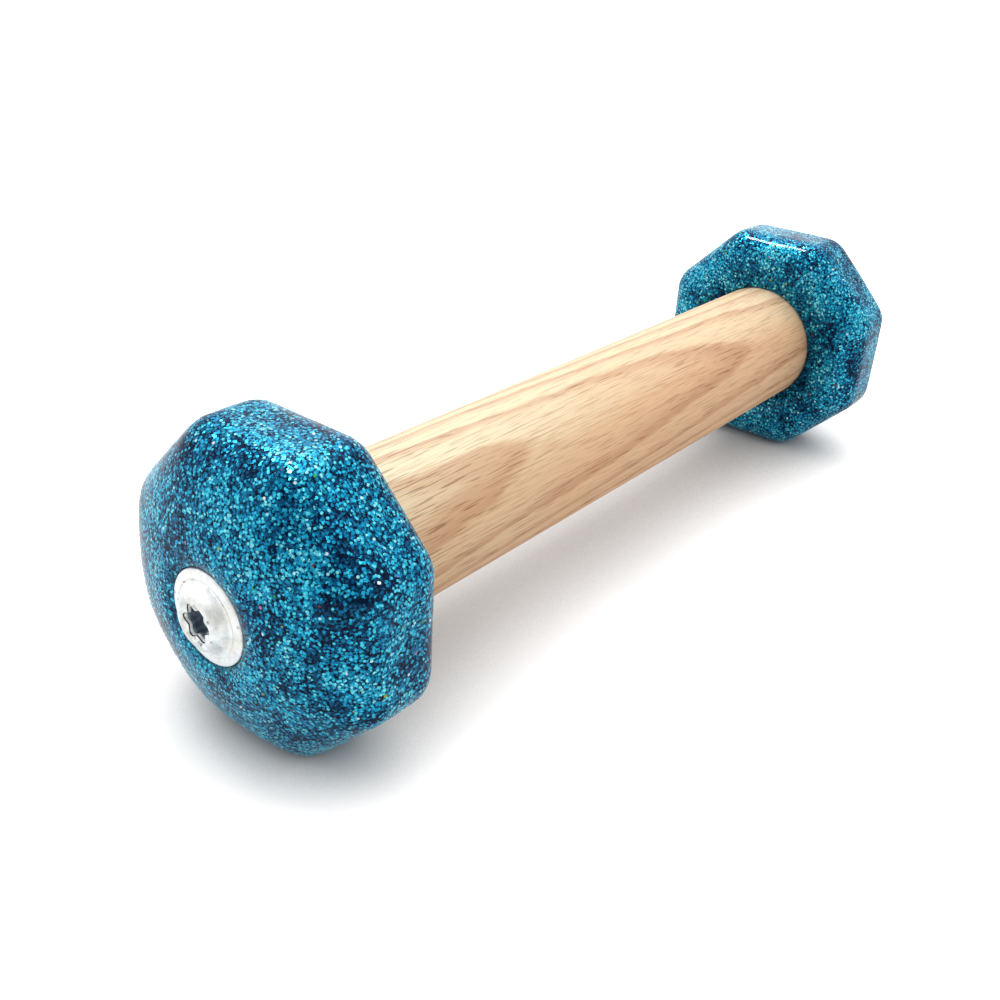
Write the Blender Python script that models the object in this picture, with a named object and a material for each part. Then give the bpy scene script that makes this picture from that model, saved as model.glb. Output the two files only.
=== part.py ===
# Retrieve dumbbell for dog training: a round oak bar with a cast resin bell on each end.
# Every bell is an eight-sided block with a domed outer face. A flange-head wood screw goes through
# the middle of the bell into the end grain of the bar and pulls the two together.
# Metres, +Z up. The bar lies along X, and both bells stand on one flat at z = 0.

import math

import bmesh
import bpy
from mathutils import Matrix, Vector

# Clearances
FIT_GAP = 0.0003            # between pieces that touch on the real object
SCREW_CLEARANCE = 0.0003    # around the thread where it passes through a bell

# Oak bar
BAR_DIAMETER = 0.025
GRIP_LENGTH = 0.130         # clear length between the two bells
SOCKET_DEPTH = 0.005        # how far each end of the bar sits inside its bell
BAR_CHAMFER = 0.0005

# Resin bells
BELL_SIDES = 8
BELL_ACROSS_FLATS = 0.047
BELL_CORNER_RADIUS = 0.0055
BELL_INNER_ROUND = 0.0055   # rounding between the inner face and the rim
BELL_RIM_WIDTH = 0.0055     # straight part of the rim, which the object stands on
BELL_DOME_HEIGHT = 0.011    # from the rim to the virtual top of the dome
DOME_POWER = 2.2            # superellipse of the dome's profile: 2 is an ellipse
ROUNDING_POWER = 5          # how soon the eight sides fade into a circle towards the middle

# Flange-head wood screws
FLANGE_DIAMETER = 0.014
FLANGE_THICKNESS = 0.0013
FLANGE_SINK = 0.0008        # top of the flange below the virtual top of the dome
FLANGE_LIP = 0.0016         # ring of flange that shows around the button
LIP_RISE = 0.0002
BUTTON_HEIGHT = 0.0020      # above the top edge of the flange
RECESS_POINTS = 6
RECESS_OUTER_DIAMETER = 0.0056
RECESS_INNER_DIAMETER = 0.0040
RECESS_LAND = 0.00035       # flat ring between the recess and the curve of the button
RECESS_FLOOR = 0.0007       # metal left under the recess
RECESS_CONE_DEPTH = 0.0004
SHANK_DIAMETER = 0.0043
SHANK_IN_BAR = 0.005        # plain shank inside the bar, before the thread starts
THREAD_ROOT_DIAMETER = 0.0040
THREAD_HEIGHT = 0.0010
THREAD_BASE_WIDTH = 0.0012
THREAD_PITCH = 0.0036
THREAD_TURNS = 7
POINT_LENGTH = 0.006

# Mesh steps
THREAD_STEPS = 24           # around a screw's shank and its hole
HEAD_STEPS = 2 * THREAD_STEPS    # around a screw head and around the bar
CORNER_STEPS = 3            # along each rounded corner of a bell
FLAT_STEPS = 4              # along each flat of a bell
INNER_ROUND_STEPS = 4
DOME_STEPS = 9
BUTTON_STEPS = 5
SMOOTH_ANGLE = math.radians(35)

# Places along the axis, measured outwards from the inner face of a bell
AXIS_HEIGHT = BELL_ACROSS_FLATS / 2
RIM_START = BELL_INNER_ROUND
RIM_END = RIM_START + BELL_RIM_WIDTH
DOME_TOP = RIM_END + BELL_DOME_HEIGHT
FLANGE_TOP = DOME_TOP - FLANGE_SINK
FLANGE_UNDERSIDE = FLANGE_TOP - FLANGE_THICKNESS
FLANGE_SEAT = FLANGE_UNDERSIDE - FIT_GAP
SOCKET_FLOOR = SOCKET_DEPTH + FIT_GAP
THREAD_START = SOCKET_DEPTH - SHANK_IN_BAR
THREAD_END = THREAD_START - THREAD_TURNS * THREAD_PITCH - THREAD_BASE_WIDTH
THREAD_RADIUS = THREAD_ROOT_DIAMETER / 2 + THREAD_HEIGHT


def new_material(name, colour, roughness, metallic):
    material = bpy.data.materials.new(name)
    material.use_nodes = True
    shader = material.node_tree.nodes["Principled BSDF"]
    shader.inputs["Base Color"].default_value = (*colour, 1.0)
    shader.inputs["Roughness"].default_value = roughness
    shader.inputs["Metallic"].default_value = metallic
    material.diffuse_color = (*colour, 1.0)
    return material


def turned_point(along, radius, angle):
    # Angles run clockwise as seen from outside, so a thread that sinks as they grow is right-handed.
    return Vector((along, radius * math.cos(angle), -radius * math.sin(angle)))


def full_turn(steps):
    return [2 * math.pi * step / steps for step in range(steps)]


def add_ring(bm, along, radius, angles):
    # The radius is one number, or a function of the angle.
    ring = []
    for angle in angles:
        reach = radius(angle) if callable(radius) else radius
        ring.append(bm.verts.new(turned_point(along, reach, angle)))
    return ring


def bridge(bm, first, second):
    # Joins two rings, the second with as many points as the first or half as many.
    count = len(second)
    if len(first) == count:
        for k in range(count):
            after = (k + 1) % count
            bm.faces.new((first[k], first[after], second[after], second[k]))
        return
    for k in range(count):
        after = (k + 1) % count
        middle = first[2 * k + 1]
        bm.faces.new((first[2 * k], middle, second[k]))
        bm.faces.new((middle, first[2 * after], second[after]))
        bm.faces.new((middle, second[after], second[k]))


def bridge_all(bm, rings):
    for first, second in zip(rings, rings[1:]):
        bridge(bm, first, second)


def close_with_point(bm, ring, along):
    tip = bm.verts.new((along, 0, 0))
    for k, vert in enumerate(ring):
        bm.faces.new((vert, ring[(k + 1) % len(ring)], tip))


def add_thread(bm, ring, spread):
    # A helical ridge on a straight root, from a ring at THREAD_START to the ring it returns at THREAD_END.
    # The ridge fades in and out over half a turn. The spread widens it all round for the hole in the bar.
    root = THREAD_ROOT_DIAMETER / 2 + spread
    half_base = THREAD_BASE_WIDTH / 2 + spread
    lead = THREAD_BASE_WIDTH / 2 - half_base
    total = (THREAD_TURNS - 1) * THREAD_STEPS
    columns = []
    for step in range(total + 1):
        angle = 2 * math.pi * step / THREAD_STEPS
        fade = min(1.0, 2 * step / THREAD_STEPS, 2 * (total - step) / THREAD_STEPS)
        front = THREAD_START - lead - THREAD_PITCH * (step / THREAD_STEPS + 0.5)
        places = (
            (front, root),
            (front - half_base, root + THREAD_HEIGHT * fade),
            (front - 2 * half_base, root),
        )
        columns.append([bm.verts.new(turned_point(along, reach, angle)) for along, reach in places])
    for now, after in zip(columns, columns[1:]):
        for edge in (0, 1):
            bm.faces.new((now[edge], after[edge], after[edge + 1], now[edge + 1]))
    for step in range(total - THREAD_STEPS):
        here, ahead = columns[step], columns[step + 1]
        next_turn, next_ahead = columns[step + THREAD_STEPS], columns[step + THREAD_STEPS + 1]
        bm.faces.new((here[2], ahead[2], next_ahead[0], next_turn[0]))

    # The first turn rises from the ring, and the last sinks into the ring at the end of the thread.
    for k in range(THREAD_STEPS - 1):
        bm.faces.new((ring[k], ring[k + 1], columns[k + 1][0], columns[k][0]))
    seam = [ring[0], *columns[0], columns[THREAD_STEPS][0]]
    corner = columns[THREAD_STEPS - 1][0]
    bm.faces.new((corner, ring[-1], ring[0]))
    for first, second in zip(seam, seam[1:]):
        bm.faces.new((corner, first, second))
    end_ring = add_ring(bm, THREAD_END, root, full_turn(THREAD_STEPS))
    last = columns[total - THREAD_STEPS:]
    for k in range(1, THREAD_STEPS):
        after = (k + 1) % THREAD_STEPS
        bm.faces.new((last[k][2], last[k + 1][2], end_ring[after], end_ring[k]))
    seam = [last[0][2], *last[-1], end_ring[0]]
    corner = last[1][2]
    bm.faces.new((corner, end_ring[0], end_ring[1]))
    for first, second in zip(seam, seam[1:]):
        bm.faces.new((corner, first, second))
    return end_ring


def finish_mesh(bm, name, material):
    bmesh.ops.recalc_face_normals(bm, faces=bm.faces)
    mesh = bpy.data.meshes.new(name)
    bm.to_mesh(mesh)
    bm.free()
    mesh.shade_smooth()
    mesh.set_sharp_from_angle(angle=SMOOTH_ANGLE)
    mesh.materials.append(material)
    return mesh


def bell_outline():
    # Angle and radius of each point of the eight-sided outline with rounded corners, one flat at the bottom.
    half_side = math.pi / BELL_SIDES
    apothem = BELL_ACROSS_FLATS / 2
    corner_centre = (apothem - BELL_CORNER_RADIUS) / math.cos(half_side)
    flat_half = (apothem - BELL_CORNER_RADIUS) * math.tan(half_side)
    points = []
    for side in range(BELL_SIDES):
        turn = 2 * half_side * side
        for step in range(FLAT_STEPS):
            across = flat_half * (2 * step / FLAT_STEPS - 1)
            points.append((turn + math.atan2(across, apothem), math.hypot(across, apothem)))
        for step in range(CORNER_STEPS):
            bend = half_side * (2 * step / CORNER_STEPS - 1)
            across = BELL_CORNER_RADIUS * math.sin(bend)
            reach = corner_centre + BELL_CORNER_RADIUS * math.cos(bend)
            points.append((turn + half_side + math.atan2(across, reach), math.hypot(across, reach)))
    return points


def bell_mesh(material):
    bm = bmesh.new()
    apothem = BELL_ACROSS_FLATS / 2
    outline = bell_outline()
    angles = [angle for angle, reach in outline]
    sides = dict(outline)

    def section(along, scale, squareness):
        # Squareness 1 keeps the eight sides, and 0 makes a circle.
        def radius(angle):
            return scale * (apothem + squareness * (sides[angle] - apothem))
        return add_ring(bm, along, radius, angles)

    rings = []
    for step in range(INNER_ROUND_STEPS):
        bend = math.pi / 2 * step / INNER_ROUND_STEPS
        along = BELL_INNER_ROUND * (1 - math.cos(bend))
        reach = apothem - BELL_INNER_ROUND * (1 - math.sin(bend))
        rings.append(section(along, reach / apothem, 1))
    rings.append(section(RIM_START, 1, 1))

    # The dome runs from the rim to the edge of the recess for the flange.
    recess = FLANGE_DIAMETER / 2 + FIT_GAP
    last_bend = math.acos((recess / apothem) ** (DOME_POWER / 2))
    for step in range(DOME_STEPS + 1):
        bend = last_bend * step / DOME_STEPS
        scale = math.cos(bend) ** (2 / DOME_POWER)
        rise = math.sin(bend) ** (2 / DOME_POWER)
        squareness = 0 if step == DOME_STEPS else scale ** ROUNDING_POWER
        rings.append(section(RIM_END + BELL_DOME_HEIGHT * rise, scale, squareness))

    bore = THREAD_RADIUS + SCREW_CLEARANCE
    socket = BAR_DIAMETER / 2 + FIT_GAP
    for along, reach in (
        (FLANGE_SEAT, recess),
        (FLANGE_SEAT, bore),
        (SOCKET_FLOOR, bore),
        (SOCKET_FLOOR, socket),
        (0.0, socket),
    ):
        rings.append(add_ring(bm, along, reach, angles))
    bridge_all(bm, [*rings, rings[0]])
    return finish_mesh(bm, "bell", material)


def lobed_radius(angle):
    inner = RECESS_INNER_DIAMETER / 2
    outer = RECESS_OUTER_DIAMETER / 2
    return inner + (outer - inner) * (0.5 + 0.5 * math.cos(RECESS_POINTS * angle))


def screw_mesh(material):
    bm = bmesh.new()
    around = full_turn(HEAD_STEPS)
    top = FLANGE_TOP + BUTTON_HEIGHT
    recess_floor = FLANGE_UNDERSIDE + RECESS_FLOOR
    flange = FLANGE_DIAMETER / 2
    land = RECESS_OUTER_DIAMETER / 2 + RECESS_LAND
    button = flange - FLANGE_LIP

    rings = [
        add_ring(bm, recess_floor, lobed_radius, around),
        add_ring(bm, top, lobed_radius, around),
    ]
    for step in range(BUTTON_STEPS + 1):
        bend = math.pi / 2 * (1 - step / BUTTON_STEPS)
        rise = LIP_RISE + (BUTTON_HEIGHT - LIP_RISE) * math.sin(bend)
        rings.append(add_ring(bm, FLANGE_TOP + rise, land + (button - land) * math.cos(bend), around))
    rings.append(add_ring(bm, FLANGE_TOP, flange, around))
    rings.append(add_ring(bm, FLANGE_UNDERSIDE, flange, around))

    around_shank = full_turn(THREAD_STEPS)
    shank = SHANK_DIAMETER / 2
    rings.append(add_ring(bm, FLANGE_UNDERSIDE, shank, around_shank))
    rings.append(add_ring(bm, THREAD_START, shank, around_shank))
    rings.append(add_ring(bm, THREAD_START, THREAD_ROOT_DIAMETER / 2, around_shank))
    bridge_all(bm, rings)
    close_with_point(bm, rings[0], recess_floor - RECESS_CONE_DEPTH)
    end_ring = add_thread(bm, rings[-1], 0.0)
    close_with_point(bm, end_ring, THREAD_END - POINT_LENGTH)
    return finish_mesh(bm, "flange_screw", material)


def bar_mesh(material):
    # One half is made, with the threaded hole in its end, and a copy turned half round makes the other.
    bm = bmesh.new()
    around = full_turn(HEAD_STEPS)
    around_hole = full_turn(THREAD_STEPS)
    radius = BAR_DIAMETER / 2
    entry = THREAD_RADIUS + FIT_GAP
    rings = [
        add_ring(bm, -GRIP_LENGTH / 2, radius, around),
        add_ring(bm, SOCKET_DEPTH - BAR_CHAMFER, radius, around),
        add_ring(bm, SOCKET_DEPTH, radius - BAR_CHAMFER, around),
        add_ring(bm, SOCKET_DEPTH, entry, around_hole),
        add_ring(bm, THREAD_START - FIT_GAP, entry, around_hole),
        add_ring(bm, THREAD_START - FIT_GAP, THREAD_ROOT_DIAMETER / 2 + FIT_GAP, around_hole),
    ]
    bridge_all(bm, rings)
    end_ring = add_thread(bm, rings[-1], FIT_GAP)
    close_with_point(bm, end_ring, THREAD_END - POINT_LENGTH - 2 * FIT_GAP)
    bmesh.ops.translate(bm, verts=bm.verts, vec=(GRIP_LENGTH / 2, 0, 0))
    half = list(bm.verts) + list(bm.edges) + list(bm.faces)
    copy = bmesh.ops.duplicate(bm, geom=half)["geom"]
    copied_verts = [item for item in copy if isinstance(item, bmesh.types.BMVert)]
    bmesh.ops.rotate(bm, verts=copied_verts, cent=(0, 0, 0), matrix=Matrix.Rotation(math.pi, 3, "Z"))
    middle = [vert for vert in bm.verts if abs(vert.co.x) < FIT_GAP and vert.co.yz.length > entry]
    bmesh.ops.remove_doubles(bm, verts=middle, dist=0.00001)
    return finish_mesh(bm, "oak_bar", material)


def add_object(name, mesh, parent):
    piece = bpy.data.objects.new(name, mesh)
    bpy.context.collection.objects.link(piece)
    piece.parent = parent
    return piece


def main():
    for old in list(bpy.data.objects):
        bpy.data.objects.remove(old)

    oak = new_material("oak", (0.71, 0.50, 0.29), 0.55, 0.0)
    resin = new_material("blue_glitter_resin", (0.02, 0.16, 0.30), 0.12, 0.0)
    zinc = new_material("zinc_plated_steel", (0.66, 0.67, 0.68), 0.30, 1.0)

    dumbbell = add_object("dumbbell", None, None)
    dumbbell.location = (0, 0, AXIS_HEIGHT)
    add_object("oak_bar", bar_mesh(oak), dumbbell)
    bell = bell_mesh(resin)
    screw = screw_mesh(zinc)
    for side, along, turn in (("left", -1, math.pi), ("right", 1, 0.0)):
        end = add_object(side + "_end", None, dumbbell)
        end.location = (along * GRIP_LENGTH / 2, 0, 0)
        end.rotation_euler = (0, 0, turn)
        add_object(side + "_bell", bell, end)
        add_object(side + "_screw", screw, end)


main()
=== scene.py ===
import math

import bmesh
import bpy
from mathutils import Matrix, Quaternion, Vector


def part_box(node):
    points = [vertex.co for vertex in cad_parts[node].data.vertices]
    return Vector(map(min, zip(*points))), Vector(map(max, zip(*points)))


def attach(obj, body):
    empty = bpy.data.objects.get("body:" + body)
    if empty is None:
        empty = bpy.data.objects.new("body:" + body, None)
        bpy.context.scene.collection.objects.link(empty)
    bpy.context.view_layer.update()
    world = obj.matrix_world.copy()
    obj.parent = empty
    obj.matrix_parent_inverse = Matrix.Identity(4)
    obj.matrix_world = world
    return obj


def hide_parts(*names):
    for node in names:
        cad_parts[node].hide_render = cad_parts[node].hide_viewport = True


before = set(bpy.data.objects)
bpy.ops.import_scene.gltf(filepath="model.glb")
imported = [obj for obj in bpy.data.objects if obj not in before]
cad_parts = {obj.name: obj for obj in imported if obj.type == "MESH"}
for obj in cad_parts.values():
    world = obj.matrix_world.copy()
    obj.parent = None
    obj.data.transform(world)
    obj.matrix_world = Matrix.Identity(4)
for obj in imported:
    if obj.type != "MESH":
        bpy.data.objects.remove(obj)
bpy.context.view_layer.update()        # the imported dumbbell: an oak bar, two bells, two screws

scene = bpy.context.scene
mm = 0.001
weld = 0.001 * mm


# small helpers

def srgb(hexText):
    parts = [int(hexText[i:i + 2], 16) / 255 for i in (1, 3, 5)]
    linear = [p / 12.92 if p <= 0.04045 else ((p + 0.055) / 1.055) ** 2.4 for p in parts]
    return (*linear, 1.0)


def feed(tree, node, inputs):
    # inputs come in order or by name: a node passes on its first output in use, a plain value is set
    for key, value in inputs.items() if isinstance(inputs, dict) else enumerate(inputs):
        if isinstance(value, bpy.types.Node):
            value = next(output for output in value.outputs if output.enabled)
        if isinstance(value, bpy.types.NodeSocket):
            tree.links.new(value, node.inputs[key])
        elif isinstance(value, str) and value.startswith("#"):
            node.inputs[key].default_value = srgb(value)
        else:
            node.inputs[key].default_value = value


def addNode(tree, kind, inputs=(), stops=None, **settings):
    node = tree.nodes.new(kind)
    for name, value in settings.items():
        setattr(node, name, value)
    feed(tree, node, inputs)
    if stops:
        ramp = node.color_ramp
        while len(ramp.elements) < len(stops):
            ramp.elements.new(1.0)
        for element, (place, hexText) in zip(ramp.elements, stops):
            element.position = place
            element.color = srgb(hexText)
    return node


def newMaterial(name):
    material = bpy.data.materials.new(name)
    material.use_nodes = True
    tree = material.node_tree
    place = addNode(tree, "ShaderNodeTexCoord").outputs["Object"]
    inMm = addNode(tree, "ShaderNodeVectorMath", {0: place, "Scale": 1 / mm}, operation="SCALE")
    return material, tree, tree.nodes["Principled BSDF"], inMm


def keepPiece(name, mesh, node=None, sharpFrom=None):
    mesh.name = name
    mesh.shade_smooth()
    if sharpFrom:
        mesh.set_sharp_from_angle(angle=math.radians(sharpFrom))
    piece = bpy.data.objects.new(name, mesh)
    scene.collection.objects.link(piece)
    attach(piece, "root")
    if node:
        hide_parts(node)
    return piece


def fullTurn(steps):
    return [2 * math.pi * step / steps for step in range(steps)]


def newTree(name, inputs, output):
    tree = bpy.data.node_groups.new(name, "GeometryNodeTree")
    for title, kind in inputs:
        tree.interface.new_socket(title, in_out="INPUT", socket_type="NodeSocket" + kind)
    tree.interface.new_socket(output, in_out="OUTPUT", socket_type="NodeSocketGeometry")
    return tree, addNode(tree, "NodeGroupInput").outputs


def endTree(tree, shape, material):
    real = addNode(tree, "GeometryNodeRealizeInstances", (shape,))
    done = addNode(tree, "GeometryNodeSetMaterial", {"Geometry": real, "Material": material})
    addNode(tree, "NodeGroupOutput", (done,))


def useTree(holder, tree, values):
    modifier = holder.modifiers.new(tree.name, "NODES")
    modifier.node_group = tree
    for item in tree.interface.items_tree:
        if item.item_type == "SOCKET" and item.in_out == "INPUT" and item.name in values:
            modifier[item.identifier] = values[item.name]


def newHolder(name, mesh):
    holder = bpy.data.objects.new(name, mesh)
    scene.collection.objects.link(holder)
    return holder


def plainMesh(holder):
    bpy.context.view_layer.update()
    shape = holder.evaluated_get(bpy.context.evaluated_depsgraph_get())
    mesh = bpy.data.meshes.new_from_object(shape)
    holder.modifiers.clear()
    bpy.data.objects.remove(holder)
    return mesh


# places taken from the frame

bellLow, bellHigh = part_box("right_bell")
barLow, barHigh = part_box("oak_bar")
screwLow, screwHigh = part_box("right_screw")
innerFace = bellLow.x                      # where a bell meets the clear length of the bar
axisHeight = (bellLow.z + bellHigh.z) / 2
apothem = (bellHigh.z - bellLow.z) / 2
barRadius = (barHigh.z - barLow.z) / 2
flangeRadius = (screwHigh.z - screwLow.z) / 2
print("frame: grip", round(2 * innerFace / mm, 1), "mm, bells", round(2 * apothem / mm, 1), "mm across")


# materials: four numbers together are a range read, from and to, and what it becomes, from and to

oakLook = {
    "grain": {    # mm along and across the bar, and detail
        "warp": (45.0, 7.0, 1.0), "wave": (9.0, 1.3, 2.0),
        "fibre": (8.0, 0.16, 2.0), "pore": (6.5, 0.26, 1.5),
    },
    "ringSpacing": 3.0, "ringStart": 1.0,                  # mm, rings
    "ringWay": (-0.045, -0.77, 0.64),                      # the way the rings face, leaning along the bar
    "bends": {"warp": 1.6, "wave": 0.9, "fibre": 0.55},    # mm that each of these bends or frays the rings
    "band": ((0.0, "#141414"), (0.1, "#d4d4d4"), (0.25, "#c0c0c0"), (0.45, "#606060"), (0.75, "#181818"),
             (1.0, "#0c0c0c")),                            # share of early wood through a year's ring
    "ragged": (0.35, 0.65, 0.5, 1.15), "streaks": (0.5, 0.28, 0.0, 0.55),    # what fibres do to the bands
    "paintedSheenHeights": (0.95, 0.45), "paintedSheenPeach": (-0.1, 0.65),     # heights in bar radii over which a painted sheen pales the top, and shares of peach there
    "peachFrom": -0.6, "peachBy": 0.35, "patchy": 0.4,     # share of half the bar, and more peach from there
    "slit": (0.57, 0.66, 0.0, 0.8),                        # which pores are open, and how dark
    "coarseEnd": 30.0, "coarse": (0.3, 0.75), "porous": 1.1,    # mm at the left end, and shares of pores
    "pale": "#fff5d0", "peach": "#fed2a4", "early": "#cc8a60", "streak": "#c8804f", "poreColour": "#8c4a20",
    "roughness": (0.46, 0.62), "specular": 0.4,
    "poreSink": 0.3, "bump": 0.25, "bumpDepth": 0.05 * mm,
}


def turnedOak():
    # oak, turned and sanded: pale flat grain with ragged tan bands of early wood and short dark open pores
    material, tree, shader, place = newMaterial("turned oak")
    look = oakLook
    grain = {}
    for name, (along, across, detail) in look["grain"].items():
        drawnOut = addNode(tree, "ShaderNodeVectorMath", (place, (1 / along, 1 / across, 1 / across)),
                           operation="MULTIPLY")
        grain[name] = addNode(tree, "ShaderNodeTexNoise", {
            "Vector": drawnOut, "Scale": 1.0, "Detail": detail})
    fibre = grain["fibre"]

    depth = addNode(tree, "ShaderNodeVectorMath", (place, look["ringWay"]), operation="DOT_PRODUCT")
    for name, bend in look["bends"].items():
        depth = addNode(tree, "ShaderNodeMath", (grain[name], bend, depth), operation="MULTIPLY_ADD")
    rings = addNode(tree, "ShaderNodeMath", (depth, 1 / look["ringSpacing"], look["ringStart"]),
                    operation="MULTIPLY_ADD")
    year = addNode(tree, "ShaderNodeMath", (rings,), operation="FRACT")
    band = addNode(tree, "ShaderNodeValToRGB", (year,), stops=look["band"])
    ragged = addNode(tree, "ShaderNodeMapRange", (fibre, *look["ragged"]))
    early = addNode(tree, "ShaderNodeMath", (band, ragged), operation="MULTIPLY", use_clamp=True)
    streaks = addNode(tree, "ShaderNodeMapRange", (fibre, *look["streaks"]))

    # painted sheen: the top of the bar is paler, where the light falls on it
    apart = addNode(tree, "ShaderNodeSeparateXYZ", (place,)).outputs
    high, low = [(axisHeight + share * barRadius) / mm for share in look["paintedSheenHeights"]]
    peachBelowPaintedSheen = addNode(tree, "ShaderNodeMapRange", (apart[2], high, low, *look["paintedSheenPeach"]))
    rightward = addNode(tree, "ShaderNodeMapRange", (
        apart[0], look["peachFrom"] * innerFace / mm, 0.0, 0.0, look["peachBy"]))
    # peach share from the painted sheen by height, plus more peach towards the right
    peachWithPaintedSheen = addNode(tree, "ShaderNodeMath", (peachBelowPaintedSheen, rightward), operation="ADD")
    grainyPeachWithPaintedSheen = addNode(tree, "ShaderNodeMath", (grain["warp"], look["patchy"], peachWithPaintedSheen), operation="MULTIPLY_ADD",
                   use_clamp=True)

    # open pores, more of them in the early wood and at the left end
    slit = addNode(tree, "ShaderNodeMapRange", (grain["pore"], *look["slit"]))
    leftEnd = -innerFace / mm
    coarse = addNode(tree, "ShaderNodeMapRange", (
        apart[0], look["coarseEnd"] + leftEnd, leftEnd, *look["coarse"]))
    porous = addNode(tree, "ShaderNodeMapRange", (early, 0.0, 1.0, coarse, look["porous"]))
    pores = addNode(tree, "ShaderNodeMath", (slit, porous), operation="MULTIPLY", use_clamp=True)

    wood = look["pale"]
    for share, colour in ((grainyPeachWithPaintedSheen, "peach"), (early, "early"), (streaks, "streak"), (pores, "poreColour")):
        wood = addNode(tree, "ShaderNodeMix", {0: share, 6: wood, 7: look[colour]}, data_type="RGBA")
    rough = addNode(tree, "ShaderNodeMapRange", (fibre, 0.0, 1.0, *look["roughness"]))
    height = addNode(tree, "ShaderNodeMath", (pores, -look["poreSink"], fibre), operation="MULTIPLY_ADD")
    bump = addNode(tree, "ShaderNodeBump", {
        "Height": height, "Strength": look["bump"], "Distance": look["bumpDepth"]})
    feed(tree, shader, {"Base Color": wood, "Roughness": rough, "Normal": bump,
                        "Specular IOR Level": look["specular"]})
    return material


resinLook = {
    "flakes": {    # mm between the middles of flakes, and how much of its cell a flake takes up
        "apart": 0.46, "reach": 0.74, "offset": (3.1, 7.7, 1.9),
        # a flake's random tone runs dark to bright: foil colour with painted glint and shade, for flakes
        # facing towards or away from the light
        "foilAndGlint": ((0.0, "#064a70"), (0.3, "#0c78a8"), (0.55, "#1aa4d4"), (0.78, "#2cc2ea"), (0.92, "#4ed8f4"),
                 (1.0, "#8aeefb")),
    },
    "deepFlakes": {
        "apart": 0.38, "reach": 0.86, "offset": (11.3, 2.3, 5.9),
        # the deep flakes' tones hold painted glint and shade as well
        "foilAndGlint": ((0.0, "#011632"), (0.35, "#04385c"), (0.65, "#095c88"), (0.9, "#1084b2"), (1.0, "#1ca6d0")),
    },
    "softEdge": 0.04,
    "clump": 8.0, "missing": (0.34, 0.54, 0.55, 0.0),      # mm, drifts, and the share of flakes they lack
    "driftTone": (1.7, -0.85),                             # how much brighter a thick drift is, and its zero
    "bend": 0.35, "bendBy": 0.15,                          # mm, how neighbours bend and cut a flake
    "crinkle": 0.18, "creaseShine": (0.3, 0.7, 0.65, 1.35),    # mm, creases whose broken shine is painted in as lighter and darker colour
    "oddShare": 0.005,                                     # a flake in a few hundred is another colour
    "oddFoil": ((0.0, "#2fae5c"), (0.4, "#a9b03c"), (0.6, "#7c4416"), (0.78, "#b07aa8"), (0.92, "#eef4f2")),
    "tilt": 0.5, "metal": 0.4,                             # how far flakes lean, and how metallic they are
    "roughness": (0.6, 0.3),                               # of the resin and of a flake
    "clear": "#011432", "greyRing": "#2f5468",
    "ringRadii": (8.6, 7.0, 0.0, 0.75), "ringFrom": 83.0,    # mm, the grey ring's radii and how far out
    "skinWave": 1.6, "skinBump": 0.16, "skinDepth": 0.15 * mm,    # mm, faint waves in the poured skin
}
# all the gloss of the skin is in the coat
clearCoat = {"Specular IOR Level": 0.0, "Coat Weight": 1.0, "Coat Roughness": 0.06, "Coat IOR": 1.17}


def pouredSkin(tree, place, normal):
    look = resinLook
    wave = addNode(tree, "ShaderNodeTexNoise", {
        "Vector": place, "Scale": 1 / look["skinWave"], "Detail": 1.0})
    return addNode(tree, "ShaderNodeBump", {
        "Height": wave, "Strength": look["skinBump"], "Distance": look["skinDepth"], **normal})


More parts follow.
